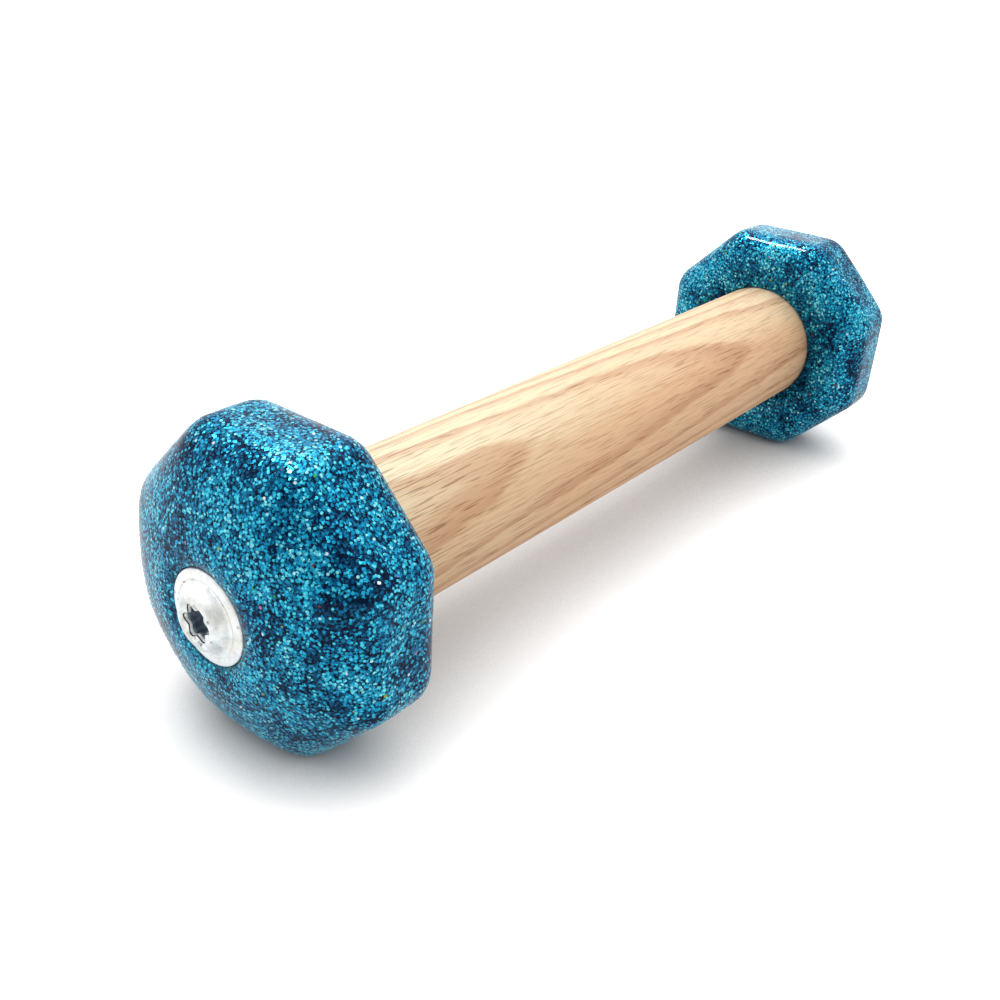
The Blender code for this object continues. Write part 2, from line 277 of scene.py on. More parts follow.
def glitterResin():
    # clear cast epoxy full of foil flakes: each flake leans its own way under one smooth glossy skin
    material, tree, shader, place = newMaterial("glitter epoxy")
    look = resinLook
    drift = addNode(tree, "ShaderNodeTexNoise", {"Vector": place, "Scale": 1 / look["clump"], "Detail": 3.0,
                                                 "Roughness": 0.65})
    missing = addNode(tree, "ShaderNodeMapRange", (drift, *look["missing"]))
    tone = addNode(tree, "ShaderNodeMath", (drift, *look["driftTone"]), operation="MULTIPLY_ADD")
    centred = (-0.5, -0.5, -0.5)
    twist = addNode(tree, "ShaderNodeTexNoise", {"Vector": place, "Scale": 1 / look["bend"], "Detail": 1.0})
    pull = addNode(tree, "ShaderNodeVectorMath", (twist.outputs["Color"], centred), operation="ADD")
    bent = addNode(tree, "ShaderNodeVectorMath", (pull, (2 * look["bendBy"],) * 3, place),
                   operation="MULTIPLY_ADD")

    def flakeLayer(layer):
        moved = addNode(tree, "ShaderNodeVectorMath", (bent, layer["offset"]), operation="ADD")
        cells = addNode(tree, "ShaderNodeTexVoronoi", {"Vector": moved, "Scale": 1 / layer["apart"]},
                        feature="F1", distance="MANHATTAN")    # gives the cut corners of foil flakes
        mask = addNode(tree, "ShaderNodeMapRange", (cells, layer["reach"] + look["softEdge"], layer["reach"]))
        chance = addNode(tree, "ShaderNodeSeparateColor", (cells.outputs["Color"],)).outputs
        shine = addNode(tree, "ShaderNodeMath", (chance[0], tone), operation="ADD")
        # foil colour with painted glint and shade: the bright flakes stand for those facing the light
        foilAndGlint = addNode(tree, "ShaderNodeValToRGB", (shine,), stops=layer["foilAndGlint"])
        return mask, foilAndGlint, cells.outputs["Color"], chance

    whole, foilAndGlint, dice, chance = flakeLayer(look["flakes"])
    deepMask, deepFoilAndGlint = flakeLayer(look["deepFlakes"])[:2]
    present = addNode(tree, "ShaderNodeMath", (chance[2], missing), operation="GREATER_THAN")
    mask = addNode(tree, "ShaderNodeMath", (whole, present), operation="MULTIPLY")
    under = addNode(tree, "ShaderNodeMix", {0: deepMask, 6: look["clear"], 7: deepFoilAndGlint}, data_type="RGBA")
    over = addNode(tree, "ShaderNodeMix", {0: mask, 6: under, 7: foilAndGlint}, data_type="RGBA")
    # painted shine: crinkled foil lightens and darkens the colour in patches
    crinkle = addNode(tree, "ShaderNodeTexNoise", {
        "Vector": place, "Scale": 1 / look["crinkle"], "Detail": 1.0})
    paintedCreaseShine = addNode(tree, "ShaderNodeMapRange", (crinkle, *look["creaseShine"]))
    sparkle = addNode(tree, "ShaderNodeVectorMath", {0: over, "Scale": paintedCreaseShine}, operation="SCALE")
    odd = addNode(tree, "ShaderNodeMath", (chance[1], 1 - look["oddShare"]), operation="GREATER_THAN")
    oddHere = addNode(tree, "ShaderNodeMath", (odd, mask), operation="MULTIPLY")
    oddFoil = addNode(tree, "ShaderNodeValToRGB", (chance[2],), stops=look["oddFoil"])
    oddFoil.color_ramp.interpolation = "CONSTANT"
    colour = addNode(tree, "ShaderNodeMix", {0: oddHere, 6: sparkle, 7: oddFoil}, data_type="RGBA")

    # the skin turns grey in a narrow ring round the flange
    apart = addNode(tree, "ShaderNodeSeparateXYZ", (place,)).outputs
    rise = addNode(tree, "ShaderNodeMath", (apart[2], axisHeight / mm), operation="SUBTRACT")
    flat = addNode(tree, "ShaderNodeCombineXYZ", {1: apart[1], 2: rise})
    offAxis = addNode(tree, "ShaderNodeVectorMath", (flat,), operation="LENGTH")
    ring = addNode(tree, "ShaderNodeMapRange", (offAxis, *look["ringRadii"]))
    outward = addNode(tree, "ShaderNodeMath", (apart[0],), operation="ABSOLUTE")
    outside = addNode(tree, "ShaderNodeMath", (outward, look["ringFrom"]), operation="GREATER_THAN")
    greyRing = addNode(tree, "ShaderNodeMath", (ring, outside), operation="MULTIPLY")
    finish = addNode(tree, "ShaderNodeMix", {0: greyRing, 6: colour, 7: look["greyRing"]}, data_type="RGBA")

    lean = addNode(tree, "ShaderNodeVectorMath", (dice, centred), operation="ADD")
    leanBy = addNode(tree, "ShaderNodeMath", (mask, look["tilt"]), operation="MULTIPLY")
    leaned = addNode(tree, "ShaderNodeVectorMath", {0: lean, "Scale": leanBy}, operation="SCALE")
    straight = addNode(tree, "ShaderNodeNewGeometry").outputs["Normal"]
    summed = addNode(tree, "ShaderNodeVectorMath", (straight, leaned), operation="ADD")
    facing = addNode(tree, "ShaderNodeVectorMath", (summed,), operation="NORMALIZE")
    metal = addNode(tree, "ShaderNodeMath", (mask, look["metal"]), operation="MULTIPLY")
    rough = addNode(tree, "ShaderNodeMapRange", (mask, 0.0, 1.0, *look["roughness"]))
    feed(tree, shader, {"Base Color": finish, "Normal": facing, "Metallic": metal, "Roughness": rough,
                        "Coat Normal": pouredSkin(tree, place, {}), **clearCoat})
    return material


foilLook = {
    # a flake's random tone, dark to pale: foil colour with painted glint and shade, the palest for flakes
    # facing the light
    "foilAndGlint": ((0.0, "#0b709c"), (0.35, "#1eaede"), (0.65, "#40d8f6"), (0.95, "#62e8fc"), (0.99, "#b0f5fd"),
             (1.0, "#f6ffff")),
    "scuff": 0.3, "roughness": (0.2, 0.42), "metal": 0.4,    # scuffs in mm
}


def surfaceFoil():
    # metallised polyester glitter that lies in the skin of the resin: bright cyan with odd pale flakes, their
    # brightness partly painted glint
    material, tree, shader, place = newMaterial("surface glitter")
    look = foilLook
    tone = addNode(tree, "ShaderNodeAttribute", attribute_name="flakeTone").outputs["Fac"]
    foilAndGlint = addNode(tree, "ShaderNodeValToRGB", (tone,), stops=look["foilAndGlint"])
    scuff = addNode(tree, "ShaderNodeTexNoise", {"Vector": place, "Scale": 1 / look["scuff"], "Detail": 1.0})
    rough = addNode(tree, "ShaderNodeMapRange", (scuff, 0.0, 1.0, *look["roughness"]))
    skinWay = addNode(tree, "ShaderNodeAttribute", attribute_name="skinNormal").outputs["Vector"]
    skin = pouredSkin(tree, place, {"Normal": skinWay})    # the poured skin runs on over the flakes
    feed(tree, shader, {"Base Color": foilAndGlint, "Roughness": rough, "Coat Normal": skin,
                        "Metallic": look["metal"], **clearCoat})
    return material


zincLook = {
    "cloud": 1.6, "plating": (0.3, 0.5), "gloss": (0.3, 0.7),    # mm, clouds of dull and clean plating
    "stain": 3.5, "stained": (0.48, 0.66, 0.0, 0.28),            # mm, warm stains
    "pit": 1.1, "pitted": (0.3, 0.12), "pitFrom": 0.62,          # mm, a few dark pits
    "pitShade": 0.7, "pitColour": "#6f6d68",
    "handled": (1.9, 1.3), "handledBy": -0.1,                    # mm down, the button is dulled by hands
    "bump": 0.35, "bumpDepth": 0.08 * mm,
    "finishes": {    # clean, dull and stained colours, and roughness where it is dull and clean
        "zinc plated steel": ("#fdffff", "#dde3e4", "#e9e2cf", (0.62, 0.5)),
        # the drive recess is dull plating darkened with painted shade, and its edge is grime and painted
        # shade
        "zinc plated drive recess, dull and in painted shade": ("#b4c0cc", "#6c7a88", "#8d969c", (0.45, 0.3)),
        "recess edge, grime and painted shade": ("#565c63", "#24282d", "#4c463e", (0.65, 0.5)),
    },
}


def platedSteel(name):
    # zinc plated steel: pale satin with cloudy plating, a few dark pits and rubbed marks
    material, tree, shader, place = newMaterial(name)
    look = zincLook
    clean, dull, warm, roughness = look["finishes"][name]
    cloud = addNode(tree, "ShaderNodeTexNoise", {"Vector": place, "Scale": 1 / look["cloud"], "Detail": 5.0,
                                                 "Roughness": 0.65})
    apart = addNode(tree, "ShaderNodeSeparateXYZ", (place,)).outputs
    outward = addNode(tree, "ShaderNodeMath", (apart[0],), operation="ABSOLUTE")
    low, high = [screwHigh.x / mm - down for down in look["handled"]]
    handled = addNode(tree, "ShaderNodeMapRange", (outward, low, high, 0.0, look["handledBy"]))
    worn = addNode(tree, "ShaderNodeMath", (cloud, handled), operation="ADD")
    plating = addNode(tree, "ShaderNodeValToRGB", (worn,), stops=tuple(zip(look["plating"], (dull, clean))))
    stain = addNode(tree, "ShaderNodeTexNoise", {"Vector": place, "Scale": 1 / look["stain"], "Detail": 1.0})
    stained = addNode(tree, "ShaderNodeMapRange", (stain, *look["stained"]))
    tinted = addNode(tree, "ShaderNodeMix", {0: stained, 6: plating, 7: warm}, data_type="RGBA")
    pits = addNode(tree, "ShaderNodeTexVoronoi", {"Vector": place, "Scale": 1 / look["pit"]}, feature="F1")
    pit = addNode(tree, "ShaderNodeMapRange", (pits, *look["pitted"]))
    chance = addNode(tree, "ShaderNodeSeparateColor", (pits.outputs["Color"],)).outputs
    rare = addNode(tree, "ShaderNodeMath", (chance[0], look["pitFrom"]), operation="GREATER_THAN")
    pitted = addNode(tree, "ShaderNodeMath", (pit, rare), operation="MULTIPLY")
    marked = addNode(tree, "ShaderNodeMath", (pitted, look["pitShade"]), operation="MULTIPLY")
    colour = addNode(tree, "ShaderNodeMix", {0: marked, 6: tinted, 7: look["pitColour"]}, data_type="RGBA")
    rough = addNode(tree, "ShaderNodeMapRange", (cloud, *look["gloss"], *roughness))
    bump = addNode(tree, "ShaderNodeBump", {
        "Height": cloud, "Strength": look["bump"], "Distance": look["bumpDepth"]})
    feed(tree, shader, {"Base Color": colour, "Roughness": rough, "Normal": bump, "Metallic": 1.0})
    return material


oak = turnedOak()
resin = glitterResin()
foilFlakes = surfaceFoil()
zinc, dullShadedDriveZinc, grimeAndShadeEdge = [platedSteel(name) for name in zincLook["finishes"]]
print("materials: oak, glitter epoxy, surface glitter, zinc plated steel")


# the bar and the bells are profiles carried round the bar's axis, level by level

rippleSink = (2.0, -2.1)    # a wave of 0 to 1 becomes -2.1 to -0.1, so the skin stays inside the true form


def carriedTree():
    tree, given = newTree("profileRoundAxis", (
        ("Profile then outline", "Geometry"), ("Levels", "Int"), ("Around", "Int"), ("Outline size", "Float"),
        ("Ripple", "Float"), ("Ripple length", "Float"), ("Side", "Float"), ("Start", "Float"),
        ("Axis height", "Float"), ("Finish", "Material")), "Form")
    columns = addNode(tree, "FunctionNodeIntegerMath", (given["Around"], 1), operation="ADD")
    grid = addNode(tree, "GeometryNodeMeshGrid", {"Vertices X": given["Levels"], "Vertices Y": columns})
    index = addNode(tree, "GeometryNodeInputIndex")
    level = addNode(tree, "FunctionNodeIntegerMath", (index, columns), operation="DIVIDE_FLOOR")
    column = addNode(tree, "FunctionNodeIntegerMath", (index, columns), operation="MODULO")
    spot = addNode(tree, "FunctionNodeIntegerMath", (column, given["Around"]), operation="MODULO")
    outlineAt = addNode(tree, "FunctionNodeIntegerMath", (spot, given["Levels"]), operation="ADD")
    where = addNode(tree, "GeometryNodeInputPosition")
    ownShare = addNode(tree, "GeometryNodeInputNamedAttribute", {"Name": "ownOutline"}, data_type="FLOAT")
    rippleShare = addNode(tree, "GeometryNodeInputNamedAttribute", {"Name": "rippled"}, data_type="FLOAT")
    picked = []
    for value, at, kind in ((where, level, "FLOAT_VECTOR"), (where, outlineAt, "FLOAT_VECTOR"),
                            (ownShare, level, "FLOAT"), (rippleShare, level, "FLOAT")):
        picked.append(addNode(tree, "GeometryNodeSampleIndex", {
            "Geometry": given[0], "Value": value, "Index": at}, data_type=kind))
    profile, outline, own, rippled = picked

    # a level's section lies between a circle and the outline
    alongAndRadius = addNode(tree, "ShaderNodeSeparateXYZ", (profile,)).outputs
    outward = addNode(tree, "ShaderNodeVectorMath", (outline,), operation="NORMALIZE")
    shrink = addNode(tree, "ShaderNodeMath", (1.0, given["Outline size"]), operation="DIVIDE")
    ownSection = addNode(tree, "ShaderNodeVectorMath", {0: outline, "Scale": shrink}, operation="SCALE")
    section = addNode(tree, "ShaderNodeMix", {0: own, 4: outward, 5: ownSection}, data_type="VECTOR")
    ring = addNode(tree, "ShaderNodeVectorMath", {0: section, "Scale": alongAndRadius[1]}, operation="SCALE")
    along = addNode(tree, "ShaderNodeMath", (given["Start"], alongAndRadius[0]), operation="ADD")
    middle = addNode(tree, "ShaderNodeCombineXYZ", {0: along, 2: given["Axis height"]})
    turn = addNode(tree, "ShaderNodeCombineXYZ", (given["Side"], given["Side"], 1.0))
    placed = addNode(tree, "ShaderNodeVectorMath", (middle, ring), operation="ADD")
    turned = addNode(tree, "ShaderNodeVectorMath", (placed, turn), operation="MULTIPLY")

    # ripples go inwards only
    often = addNode(tree, "ShaderNodeMath", (1.0, given["Ripple length"]), operation="DIVIDE")
    wave = addNode(tree, "ShaderNodeTexNoise", {"Vector": turned, "Scale": often, "Detail": 1.0})
    sunk = addNode(tree, "ShaderNodeMath", (wave, *rippleSink), operation="MULTIPLY_ADD")
    height = addNode(tree, "ShaderNodeMath", (given["Ripple"], rippled), operation="MULTIPLY")
    lift = addNode(tree, "ShaderNodeMath", (sunk, height), operation="MULTIPLY")
    away = addNode(tree, "ShaderNodeVectorMath", (outward, turn), operation="MULTIPLY")
    shift = addNode(tree, "ShaderNodeVectorMath", {0: away, "Scale": lift}, operation="SCALE")
    final = addNode(tree, "ShaderNodeVectorMath", (turned, shift), operation="ADD")
    formed = addNode(tree, "GeometryNodeSetPosition", {"Geometry": grid, "Position": final})
    closed = addNode(tree, "GeometryNodeMergeByDistance", {"Geometry": formed, "Distance": weld})
    endTree(tree, closed, given["Finish"])
    return tree


roundAxis = carriedTree()


def carry(name, levels, outline, settings):
    # a level is: along, radius, share of the outline in its section, share of the ripple
    spots = [(along, radius, 0) for along, radius, own, rippled in levels] + [(0, y, z) for y, z in outline]
    mesh = bpy.data.meshes.new(name)
    mesh.from_pydata(spots, [], [])
    for title, column in (("ownOutline", 2), ("rippled", 3)):
        shares = [float(level[column]) for level in levels] + [0.0] * len(outline)
        mesh.attributes.new(title, "FLOAT", "POINT").data.foreach_set("value", shares)
    holder = newHolder(name, mesh)
    useTree(holder, roundAxis, {"Levels": len(levels), "Around": len(outline), "Start": innerFace,
                                "Axis height": axisHeight, **settings})
    return holder


# the oak bar

bar = {
    "around": 128, "lengths": 64, "chamfer": 0.5 * mm, "hole": 3.3 * mm, "holeDepth": 39 * mm,
    "waver": 0.03 * mm, "waverLength": 22 * mm,     # hand-sanded unevenness
}


def makeBar():
    reach = barHigh.x - innerFace              # how far the bar runs on inside a bell
    start, end = -2 * innerFace - reach, reach
    hole, chamfer, deep = bar["hole"], bar["chamfer"], bar["holeDepth"]
    levels = [(start + deep + hole, 0, 0, 0), (start + deep, hole, 0, 0), (start, hole, 0, 0),
              (start, barRadius - chamfer, 0, 0)]
    for step in range(bar["lengths"] + 1):
        along = start + chamfer + (end - start - 2 * chamfer) * step / bar["lengths"]
        levels.append((along, barRadius, 0, 1))
    levels += [(end, barRadius - chamfer, 0, 0), (end, hole, 0, 0), (end - deep, hole, 0, 0),
               (end - deep - hole, 0, 0, 0)]
    turn = fullTurn(bar["around"])
    circle = [(barRadius * math.cos(angle), -barRadius * math.sin(angle)) for angle in turn]
    holder = carry("bar", levels, circle, {
        "Outline size": barRadius, "Ripple": bar["waver"], "Ripple length": bar["waverLength"],
        "Side": 1.0, "Finish": oak})
    keepPiece("oak_bar_turned", plainMesh(holder), "oak_bar", sharpFrom=40)


makeBar()
print("bar made")


# the resin bells

bell = {
    "sides": 8, "corner": 5.5 * mm, "innerRound": 5.5 * mm, "rim": 5.5 * mm, "dome": 11 * mm,
    "domePower": 2.2, "roundingPower": 5,      # dome profile, and how soon the sides fade into a circle
    "cornerSteps": 8, "flatSteps": 12, "roundSteps": 12, "rimSteps": 6, "domeSteps": 40,
    "socketDepth": 5.1 * mm, "socketPlay": 0.1 * mm, "bore": 3.3 * mm, "seat": 19.6 * mm,
    "edge": 0.25 * mm, "edgeBreak": (0.3, 0.4),     # the hole's rounded edge, and shares of it down and out
    "gap": 0.10 * mm, "dip": 0.55 * mm, "dipWidth": 3.0 * mm,   # round the flange, where the skin dips
    "ripple": 0.10 * mm, "rippleLength": 9 * mm,    # uneven hand-cast skin
}


def bellOutline():
    half = math.pi / bell["sides"]
    flatHalf = (apothem - bell["corner"]) * math.tan(half)
    cornerMiddle = (apothem - bell["corner"]) / math.cos(half)
    points = []
    for side in range(bell["sides"]):
        turn = 2 * half * side
        bends = []
        for step in range(bell["flatSteps"]):
            bends.append((flatHalf * (2 * step / bell["flatSteps"] - 1), apothem, turn))
        for step in range(bell["cornerSteps"]):
            bend = half * (2 * step / bell["cornerSteps"] - 1)
            reach = cornerMiddle + bell["corner"] * math.cos(bend)
            bends.append((bell["corner"] * math.sin(bend), reach, turn + half))
        for across, reach, facing in bends:
            angle, radius = facing + math.atan2(across, reach), math.hypot(across, reach)
            points.append((radius * math.cos(angle), -radius * math.sin(angle)))
    return points


def skinLevels():
    # from the inner face round the rim and over the dome to the screw
    levels = []
    for step in range(bell["roundSteps"]):
        bend = math.pi / 2 * step / bell["roundSteps"]
        inset = bell["innerRound"] * (1 - math.sin(bend))
        levels.append((bell["innerRound"] * (1 - math.cos(bend)), 1 - inset / apothem, 1.0))
    for step in range(bell["rimSteps"]):
        levels.append((bell["innerRound"] + bell["rim"] * step / bell["rimSteps"], 1.0, 1.0))
    rimEnd = bell["innerRound"] + bell["rim"]
    hole = flangeRadius + bell["gap"] + bell["edge"]
    lastBend = math.acos((hole / apothem) ** (bell["domePower"] / 2))
    for step in range(bell["domeSteps"] + 1):
        bend = lastBend * step / bell["domeSteps"]
        scale = math.cos(bend) ** (2 / bell["domePower"])
        rise = math.sin(bend) ** (2 / bell["domePower"])
        own = 0.0 if step == bell["domeSteps"] else scale ** bell["roundingPower"]
        near = max(0.0, 1 - (scale * apothem - hole) / bell["dipWidth"])
        levels.append((rimEnd + bell["dome"] * rise - bell["dip"] * near ** 2, scale, own))
    return [(along, scale * apothem, own, 1 - (1 - scale) ** 2) for along, scale, own in levels]


def bellSettings(side):
    return {"Outline size": apothem, "Ripple": bell["ripple"], "Ripple length": bell["rippleLength"],
            "Side": float(side), "Finish": resin}


def makeBell(side, name, node):
    levels = skinLevels()
    top = levels[-1][0]
    hole = flangeRadius + bell["gap"]
    socket = barRadius + bell["socketPlay"]
    edge, (down, out) = bell["edge"], bell["edgeBreak"]
    for along, radius in (
        (top - down * edge, hole + out * edge), (top - edge, hole), (bell["seat"], hole),
        (bell["seat"], bell["bore"]), (bell["socketDepth"], bell["bore"]), (bell["socketDepth"], socket),
        (edge, socket), (0.0, socket + edge),
    ):
        levels.append((along, radius, 0.0, 0.0))
    levels.append(levels[0])
    holder = carry(name, levels, bellOutline(), bellSettings(side))
    keepPiece(name, plainMesh(holder), node, sharpFrom=50)


makeBell(-1, "left_bell_resin", "left_bell")
makeBell(1, "right_bell_resin", "right_bell")
print("bells cast")


# glitter flakes that lie in the skin of the bells

glitter = {
    "perSquareMm": 4.4, "apart": 0.2 * mm, "radius": 0.2 * mm, "thick": 0.04 * mm, "sizes": (0.65, 1.15),
    "sides": 6, "tilt": 0.12, "lift": 0.005 * mm,
    "clump": 8 * mm, "drifts": (0.34, 0.6, 0.2, 1.0),      # wide drifts where flakes gather
    "knot": 1.5 * mm, "knots": (0.42, 0.62, 0.12, 1.0),    # and small knots
    "seeds": {-1: 4, 1: 9},
}


def glitterTree():
    tree, given = newTree("skinGlitter", (
        ("Skin", "Geometry"), ("Density", "Float"), ("Apart", "Float"), ("Flake radius", "Float"),
        ("Flake thickness", "Float"), ("Tilt", "Float"), ("Lift", "Float"), ("Clump", "Float"),
        ("Knot", "Float"), ("Seed", "Int"), ("Foil", "Material")), "Flakes")
    where = addNode(tree, "GeometryNodeInputPosition")
    often = addNode(tree, "ShaderNodeMath", (1.0, given["Clump"]), operation="DIVIDE")
    drift = addNode(tree, "ShaderNodeTexNoise", {
        "Vector": where, "Scale": often, "Detail": 3.0, "Roughness": 0.65})
    crowd = addNode(tree, "ShaderNodeMapRange", (drift, *glitter["drifts"]))
    close = addNode(tree, "ShaderNodeMath", (1.0, given["Knot"]), operation="DIVIDE")
    knots = addNode(tree, "ShaderNodeTexNoise", {"Vector": where, "Scale": close, "Detail": 2.0})
    knotted = addNode(tree, "ShaderNodeMapRange", (knots, *glitter["knots"]))
    share = addNode(tree, "ShaderNodeMath", (crowd, knotted), operation="MULTIPLY")
    spread = addNode(tree, "GeometryNodeDistributePointsOnFaces", {
        "Mesh": given["Skin"], "Distance Min": given["Apart"], "Density Max": given["Density"],
        "Density Factor": share, "Seed": given["Seed"]}, distribute_method="POISSON").outputs
    away = addNode(tree, "ShaderNodeVectorMath", {0: spread["Normal"], "Scale": given["Lift"]},
                   operation="SCALE")
    raised = addNode(tree, "GeometryNodeSetPosition", {"Geometry": spread["Points"], "Offset": away})
    faced = addNode(tree, "GeometryNodeStoreNamedAttribute", {
        "Geometry": raised, "Name": "skinNormal", "Value": spread["Normal"]},
        data_type="FLOAT_VECTOR", domain="POINT")
    flake = addNode(tree, "GeometryNodeMeshCylinder", {
        "Vertices": glitter["sides"], "Radius": given["Flake radius"], "Depth": given["Flake thickness"]},
        fill_type="NGON")
    least = addNode(tree, "ShaderNodeMath", (given["Tilt"], -1.0), operation="MULTIPLY")
    lowLean = addNode(tree, "ShaderNodeCombineXYZ", (least, least, -math.pi))
    highLean = addNode(tree, "ShaderNodeCombineXYZ", (given["Tilt"], given["Tilt"], math.pi))
    lean = addNode(tree, "FunctionNodeRandomValue", {0: lowLean, 1: highLean, "Seed": given["Seed"]},
                   data_type="FLOAT_VECTOR")
    turned = addNode(tree, "FunctionNodeRotateRotation", {"Rotation": spread["Rotation"], "Rotate By": lean},
                     rotation_space="LOCAL")
    smallest, largest = glitter["sizes"]
    size = addNode(tree, "FunctionNodeRandomValue", {2: smallest, 3: largest, "Seed": given["Seed"]},
                   data_type="FLOAT")
    placed = addNode(tree, "GeometryNodeInstanceOnPoints", {
        "Points": faced, "Instance": flake, "Rotation": turned, "Scale": size})
    tone = addNode(tree, "FunctionNodeRandomValue", {2: 0.0, 3: 1.0, "Seed": given["Seed"]},
                   data_type="FLOAT")
    toned = addNode(tree, "GeometryNodeStoreNamedAttribute", {
        "Geometry": placed, "Name": "flakeTone", "Value": tone}, data_type="FLOAT", domain="INSTANCE")
    endTree(tree, toned, given["Foil"])
    return tree


flakeTree = glitterTree()


def makeGlitter(side, name):
    holder = carry(name, skinLevels(), bellOutline(), bellSettings(side))
    useTree(holder, flakeTree, {
        "Density": glitter["perSquareMm"] / mm ** 2, "Apart": glitter["apart"],
        "Flake radius": glitter["radius"], "Flake thickness": glitter["thick"],
        "Tilt": glitter["tilt"], "Lift": glitter["lift"], "Clump": glitter["clump"], "Knot": glitter["knot"],
        "Seed": glitter["seeds"][side], "Foil": foilFlakes})
    flakes = keepPiece(name, plainMesh(holder), sharpFrom=30)
    print(name, len(flakes.data.polygons) // (glitter["sides"] + 2), "flakes")


makeGlitter(-1, "left_glitter")
makeGlitter(1, "right_glitter")


# the flange screws

screw = {
    "around": 96, "flange": 1.3 * mm, "edge": 0.28 * mm, "edgeSteps": 5, "underEdge": 0.14 * mm,
    "lip": 1.6 * mm, "lipRise": 0.2 * mm, "lipFall": 0.3,    # width, rise, and the share left at its rim
    "crease": 0.22 * mm, "creaseShape": ((1.0, 0.3), (1.0, 0.8), (0.0, 1.5)),    # in creases, down and out
    "button": 2.0 * mm, "buttonSteps": 18, "buttonSwell": 1.25,
    "points": 6, "recessOuter": 2.8 * mm, "recessInner": 2.0 * mm,
    "recessFloor": 0.7 * mm, "recessCone": 0.4 * mm,
    "land": 0.3 * mm, "sink": 0.32 * mm, "sinkEdge": (0.15, 0.2),    # the dip round the recess, and its edge
    "rims": ((0.16 * mm, 0.95), (0.46 * mm, 0.88)),    # recess edge and chamfer: depth, and share of width
    "shank": 2.15 * mm, "root": 2.0 * mm, "point": 6 * mm,
    "threadHeight": 1.0 * mm, "threadStart": -1.2 * mm, "threadHalf": 0.55 * mm, "threadSink": 0.1 * mm,
    "turns": 7.0, "pitch": 3.6 * mm, "stepsPerTurn": 36, "runOut": 1.4,    # runOut: how soon it rises
}


def threadTree():
    # a three-cornered ridge that winds down the shank and runs out to nothing at both ends
    tree, given = newTree("screwThread", (
        ("Shank", "Geometry"), ("Steps", "Int"), ("Turns", "Float"), ("Pitch", "Float"), ("Foot", "Float"),
        ("Height", "Float"), ("Half width", "Float"), ("Run out", "Float"), ("Start", "Float"),
        ("Side", "Float"), ("Axis height", "Float"), ("Metal", "Material")), "Thread")
    corners, crestAt = 3, 1.0    # foot, crest, foot
    columns = corners + 1        # the last one closes the ridge
    grid = addNode(tree, "GeometryNodeMeshGrid", {"Vertices X": given["Steps"], "Vertices Y": columns})
    index = addNode(tree, "GeometryNodeInputIndex")
    step = addNode(tree, "FunctionNodeIntegerMath", (index, columns), operation="DIVIDE_FLOOR")
    column = addNode(tree, "FunctionNodeIntegerMath", (index, columns), operation="MODULO")
    corner = addNode(tree, "FunctionNodeIntegerMath", (column, corners), operation="MODULO")
    last = addNode(tree, "FunctionNodeIntegerMath", (given["Steps"], 1), operation="SUBTRACT")
    share = addNode(tree, "ShaderNodeMath", (step, last), operation="DIVIDE")
    turns = addNode(tree, "ShaderNodeMath", (share, given["Turns"]), operation="MULTIPLY")
    angle = addNode(tree, "ShaderNodeMath", (turns, 2 * math.pi), operation="MULTIPLY")
    left = addNode(tree, "ShaderNodeMath", (given["Turns"], turns), operation="SUBTRACT")
    nearEnd = addNode(tree, "ShaderNodeMath", (turns, left), operation="MINIMUM")
    rise = addNode(tree, "ShaderNodeMath", (nearEnd, given["Run out"]), operation="MULTIPLY", use_clamp=True)
    crest = addNode(tree, "ShaderNodeMath", (corner, crestAt, 0.5), operation="COMPARE")
    ridge = addNode(tree, "ShaderNodeMath", (crest, rise), operation="MULTIPLY")
    radius = addNode(tree, "ShaderNodeMath", (ridge, given["Height"], given["Foot"]),
                     operation="MULTIPLY_ADD")
    across = addNode(tree, "ShaderNodeMath", (corner, crestAt), operation="SUBTRACT")
    spread = addNode(tree, "ShaderNodeMath", (across, rise), operation="MULTIPLY")
    advance = addNode(tree, "ShaderNodeMath", (turns, given["Pitch"]), operation="MULTIPLY")
    behind = addNode(tree, "ShaderNodeMath", (given["Start"], advance), operation="SUBTRACT")
    along = addNode(tree, "ShaderNodeMath", (spread, given["Half width"], behind), operation="MULTIPLY_ADD")
    cosine = addNode(tree, "ShaderNodeMath", (angle,), operation="COSINE")
    sine = addNode(tree, "ShaderNodeMath", (angle,), operation="SINE")
    y = addNode(tree, "ShaderNodeMath", (radius, cosine), operation="MULTIPLY")
    drop = addNode(tree, "ShaderNodeMath", (radius, sine), operation="MULTIPLY")
    z = addNode(tree, "ShaderNodeMath", (given["Axis height"], drop), operation="SUBTRACT")
    place = addNode(tree, "ShaderNodeCombineXYZ", (along, y, z))
    turn = addNode(tree, "ShaderNodeCombineXYZ", (given["Side"], given["Side"], 1.0))
    turned = addNode(tree, "ShaderNodeVectorMath", (place, turn), operation="MULTIPLY")
    formed = addNode(tree, "GeometryNodeSetPosition", {"Geometry": grid, "Position": turned})
    closed = addNode(tree, "GeometryNodeMergeByDistance", {"Geometry": formed, "Distance": weld})
    endTree(tree, closed, given["Metal"])
    return tree


spiral = threadTree()


def lobes(angle):
    wave = 0.5 + 0.5 * math.cos(screw["points"] * angle)
    return screw["recessInner"] + (screw["recessOuter"] - screw["recessInner"]) * wave


def addRing(bm, side, along, radius):
    # side 1 is the right end, and -1 is the left end, turned half round so that the thread keeps its hand
    ring = []
    for angle in fullTurn(screw["around"]):
        reach = radius(angle) if callable(radius) else radius
        y, z = reach * math.cos(angle), -reach * math.sin(angle)
        ring.append(bm.verts.new((side * (innerFace + along), side * y, axisHeight + z)))
    return ring


def joinRings(bm, rings, side, tip, finish):
    for first, second in zip(rings, rings[1:]):
        for k in range(len(first)):
            after = (k + 1) % len(first)
            bm.faces.new((first[k], first[after], second[after], second[k])).material_index = finish
    if tip is not None:
        end = bm.verts.new((side * (innerFace + tip), 0, axisHeight))
        for k, vert in enumerate(rings[-1]):
            bm.faces.new((vert, rings[-1][(k + 1) % len(rings[-1])], end)).material_index = finish


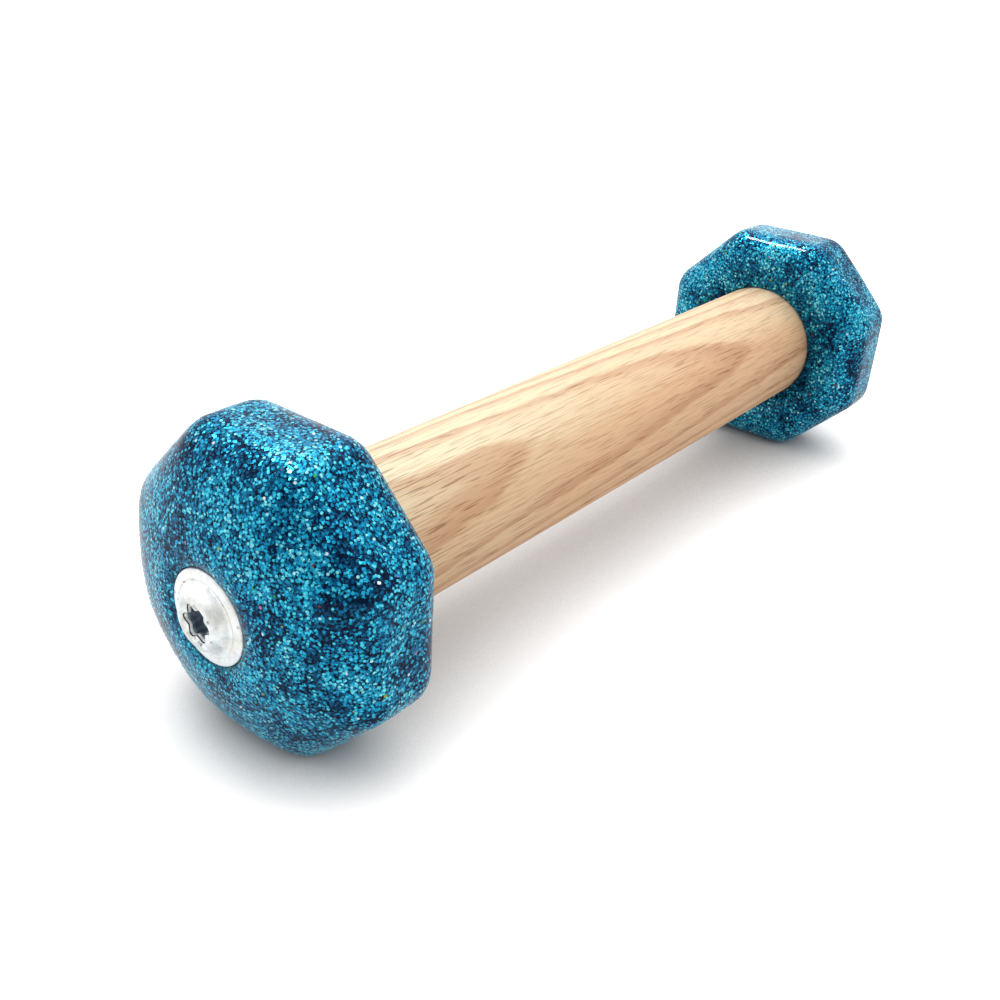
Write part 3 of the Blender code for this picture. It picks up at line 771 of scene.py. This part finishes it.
def makeScrew(side, name, node):
    bm = bmesh.new()
    top = screwHigh.x - innerFace
    flangeTop = top - screw["button"]
    under = flangeTop - screw["flange"]
    tip = screwLow.x - innerFace
    floor = under + screw["recessFloor"]
    land = screw["recessOuter"] + screw["land"]
    button = flangeRadius - screw["lip"]
    lipTop = flangeTop + screw["lipRise"]
    edge, crease = screw["edge"], screw["crease"]
    plain, drive, grimeAndShade = range(3)    # the order of its materials

    # the recess: an edge of grime and painted shade, a clean chamfer, then the drive, dull and darkened with
    # painted shade
    mouthAt = top - screw["sink"]
    mouth = addRing(bm, side, mouthAt, lobes)
    inside = [mouth]
    for deep, share in (*screw["rims"], (mouthAt - floor, screw["rims"][-1][1])):
        inside.append(addRing(bm, side, mouthAt - deep, lambda angle: share * lobes(angle)))
    joinRings(bm, inside[:2], side, None, grimeAndShade)
    joinRings(bm, inside[1:3], side, None, plain)
    joinRings(bm, inside[2:], side, floor - screw["recessCone"], drive)

    # the button, the flange and the shank
    down, inward = screw["sinkEdge"]
    profile = [(top - down * screw["sink"], land - inward * screw["sink"])]
    for step in range(screw["buttonSteps"] + 1):
        out = step / screw["buttonSteps"]
        swell = 0.5 + 0.5 * math.cos(math.pi * out ** screw["buttonSwell"])
        profile.append((lipTop + (top - lipTop) * swell, land + (button - land) * out))
    for deep, out in screw["creaseShape"]:
        profile.append((lipTop - deep * crease, button + out * crease))
    profile.append((flangeTop + screw["lipFall"] * screw["lipRise"], flangeRadius - edge))
    for step in range(1, screw["edgeSteps"] + 1):
        bend = math.pi / 2 * step / screw["edgeSteps"]
        profile.append((flangeTop - edge * (1 - math.cos(bend)), flangeRadius - edge * (1 - math.sin(bend))))
    profile += [(under + screw["underEdge"], flangeRadius), (under, flangeRadius - screw["underEdge"]),
                (under, screw["shank"]), (0.0, screw["shank"]), (0.0, screw["root"]),
                (tip + screw["point"], screw["root"])]
    head = [mouth] + [addRing(bm, side, along, radius) for along, radius in profile]
    joinRings(bm, head, side, tip, plain)

    holder = newHolder(name + "_thread", bpy.data.meshes.new(name + "_thread"))
    useTree(holder, spiral, {
        "Steps": int(screw["turns"] * screw["stepsPerTurn"]) + 1, "Turns": screw["turns"],
        "Pitch": screw["pitch"], "Half width": screw["threadHalf"], "Run out": screw["runOut"],
        "Foot": screw["root"] - screw["threadSink"], "Height": screw["threadHeight"] + screw["threadSink"],
        "Start": innerFace + screw["threadStart"], "Side": float(side), "Axis height": axisHeight,
        "Metal": zinc})
    bm.from_mesh(plainMesh(holder))
    bmesh.ops.recalc_face_normals(bm, faces=bm.faces)
    mesh = bpy.data.meshes.new(name)
    bm.to_mesh(mesh)
    bm.free()
    for material in (zinc, dullShadedDriveZinc, grimeAndShadeEdge):
        mesh.materials.append(material)
    keepPiece(name, mesh, node, sharpFrom=40)


makeScrew(-1, "left_screw_zinc", "left_screw")
makeScrew(1, "right_screw_zinc", "right_screw")
print("screws made")


# floor, light and camera

studio = {
    "floorSize": 12.0,
    "floorSeen": 0.45, "floorGlow": 1.72,         # floor colour to the camera, and its own white there
    "shadowReach": 0.08, "shadowDepth": 2.2,      # metres that its soft shadow reaches, and how deep it is
    "floorGlossy": 1.0, "floorLit": 0.6,          # floor colour in gloss and in bounced light
    "fill": 0.63,                                 # world light on the object
    "dimSide": (-0.75, -0.48, 0.45), "dimEdge": (0.5, 0.9), "dim": 0.45,    # a dim room, seen in gloss
    "windowFrom": (0.80, 0.55, 0.25), "windowEdge": (0.93, 0.985), "window": 0.7,    # and a window far behind
    "overhead": 0.37, "overheadWidth": 70, "overheadFrom": (0.35, 0.20, 1.0),    # share of white, degrees
    "key": 0.15, "keyWidth": 13, "keyFrom": (-0.02, 0.40, 0.91),
    "softbox": 0.55, "softboxWidth": 9, "softboxFrom": (-0.02, 0.40, 0.91),      # seen in gloss alone
}
shot = {
    "lens": 39.42, "sensor": 36, "near": 0.01, "far": 50,
    "place": (-0.15614, -0.10066, 0.10619), "aim": (-0.01741, 0.00625, 0.01225), "roll": 0.061,
}


def makeFloor():
    material = bpy.data.materials.new("pale floor")
    material.use_nodes = True
    tree = material.node_tree
    rays = addNode(tree, "ShaderNodeLightPath").outputs
    glossy = addNode(tree, "ShaderNodeMath", (rays["Is Glossy Ray"], rays["Is Transmission Ray"]),
                     operation="MAXIMUM")
    bounced = addNode(tree, "ShaderNodeMapRange", (
        glossy, 0.0, 1.0, studio["floorLit"], studio["floorGlossy"]))
    shown = addNode(tree, "ShaderNodeMix", {0: rays["Is Camera Ray"], 2: bounced, 3: studio["floorSeen"]},
                    data_type="FLOAT")
    white = addNode(tree, "ShaderNodeCombineColor", (shown, shown, shown))
    openSky = addNode(tree, "ShaderNodeAmbientOcclusion", {"Distance": studio["shadowReach"]}, samples=8)
    shade = addNode(tree, "ShaderNodeMath", (openSky.outputs["AO"], studio["shadowDepth"]), operation="POWER")
    bright = addNode(tree, "ShaderNodeMath", (shade, studio["floorGlow"]), operation="MULTIPLY")
    glow = addNode(tree, "ShaderNodeMath", (rays["Is Camera Ray"], bright), operation="MULTIPLY")
    feed(tree, tree.nodes["Principled BSDF"], {
        "Base Color": white, "Emission Strength": glow, "Emission Color": "#ffffff", "Roughness": 1.0,
        "Specular IOR Level": 0.0})
    half = studio["floorSize"] / 2
    mesh = bpy.data.meshes.new("floor")
    corners = [(-half, -half, 0), (half, -half, 0), (half, half, 0), (-half, half, 0)]
    mesh.from_pydata(corners, [], [(0, 1, 2, 3)])
    mesh.materials.append(material)
    floor = bpy.data.objects.new("floor", mesh)
    scene.collection.objects.link(floor)


def makeLight():
    world = bpy.data.worlds.new("white room")
    scene.world = world
    world.use_nodes = True
    tree = world.node_tree
    rays = addNode(tree, "ShaderNodeLightPath").outputs
    glossy = addNode(tree, "ShaderNodeMath", (rays["Is Glossy Ray"], rays["Is Transmission Ray"]),
                     operation="MAXIMUM")
    looking = addNode(tree, "ShaderNodeTexCoord").outputs["Generated"]
    aside, behind = [addNode(tree, "ShaderNodeVectorMath", (looking, Vector(studio[way]).normalized()),
                             operation="DOT_PRODUCT") for way in ("dimSide", "windowFrom")]
    room = addNode(tree, "ShaderNodeMapRange", (aside, *studio["dimEdge"], 1.0, studio["dim"]))
    window = addNode(tree, "ShaderNodeMapRange", (behind, *studio["windowEdge"], 0.0, studio["window"]))
    shining = addNode(tree, "ShaderNodeMath", (room, window), operation="ADD")
    lit = addNode(tree, "ShaderNodeMix", {0: glossy, 2: studio["fill"], 3: shining}, data_type="FLOAT")
    strength = addNode(tree, "ShaderNodeMix", {0: rays["Is Camera Ray"], 2: lit, 3: 1.0}, data_type="FLOAT")
    feed(tree, tree.nodes["Background"], {"Color": "#ffffff", "Strength": strength})
    for name in ("overhead", "key", "softbox"):
        lamp = bpy.data.lights.new(name, "SUN")    # a wide sun is as bright far off as it is near
        way = Vector(studio[name + "From"]).normalized()
        lamp.energy = studio[name] * math.pi / way.z
        lamp.angle = math.radians(studio[name + "Width"])
        light = bpy.data.objects.new(name, lamp)
        light.location = way
        light.rotation_mode = "QUATERNION"
        light.rotation_quaternion = (-way).to_track_quat("-Z", "Y")
        light.visible_diffuse = name != "softbox"
        scene.collection.objects.link(light)


def makeCamera():
    lens = bpy.data.cameras.new("camera")
    lens.lens = shot["lens"]
    lens.sensor_width = shot["sensor"]
    lens.clip_start = shot["near"]
    lens.clip_end = shot["far"]
    camera = bpy.data.objects.new("camera", lens)
    camera.location = shot["place"]
    camera.rotation_mode = "QUATERNION"
    way = Vector(shot["aim"]) - Vector(shot["place"])
    camera.rotation_quaternion = way.to_track_quat("-Z", "Y") @ Quaternion((0, 0, 1), shot["roll"])
    scene.collection.objects.link(camera)
    scene.camera = camera


makeFloor()
makeLight()
makeCamera()
scene.view_settings.view_transform = "Standard"
print("studio set")
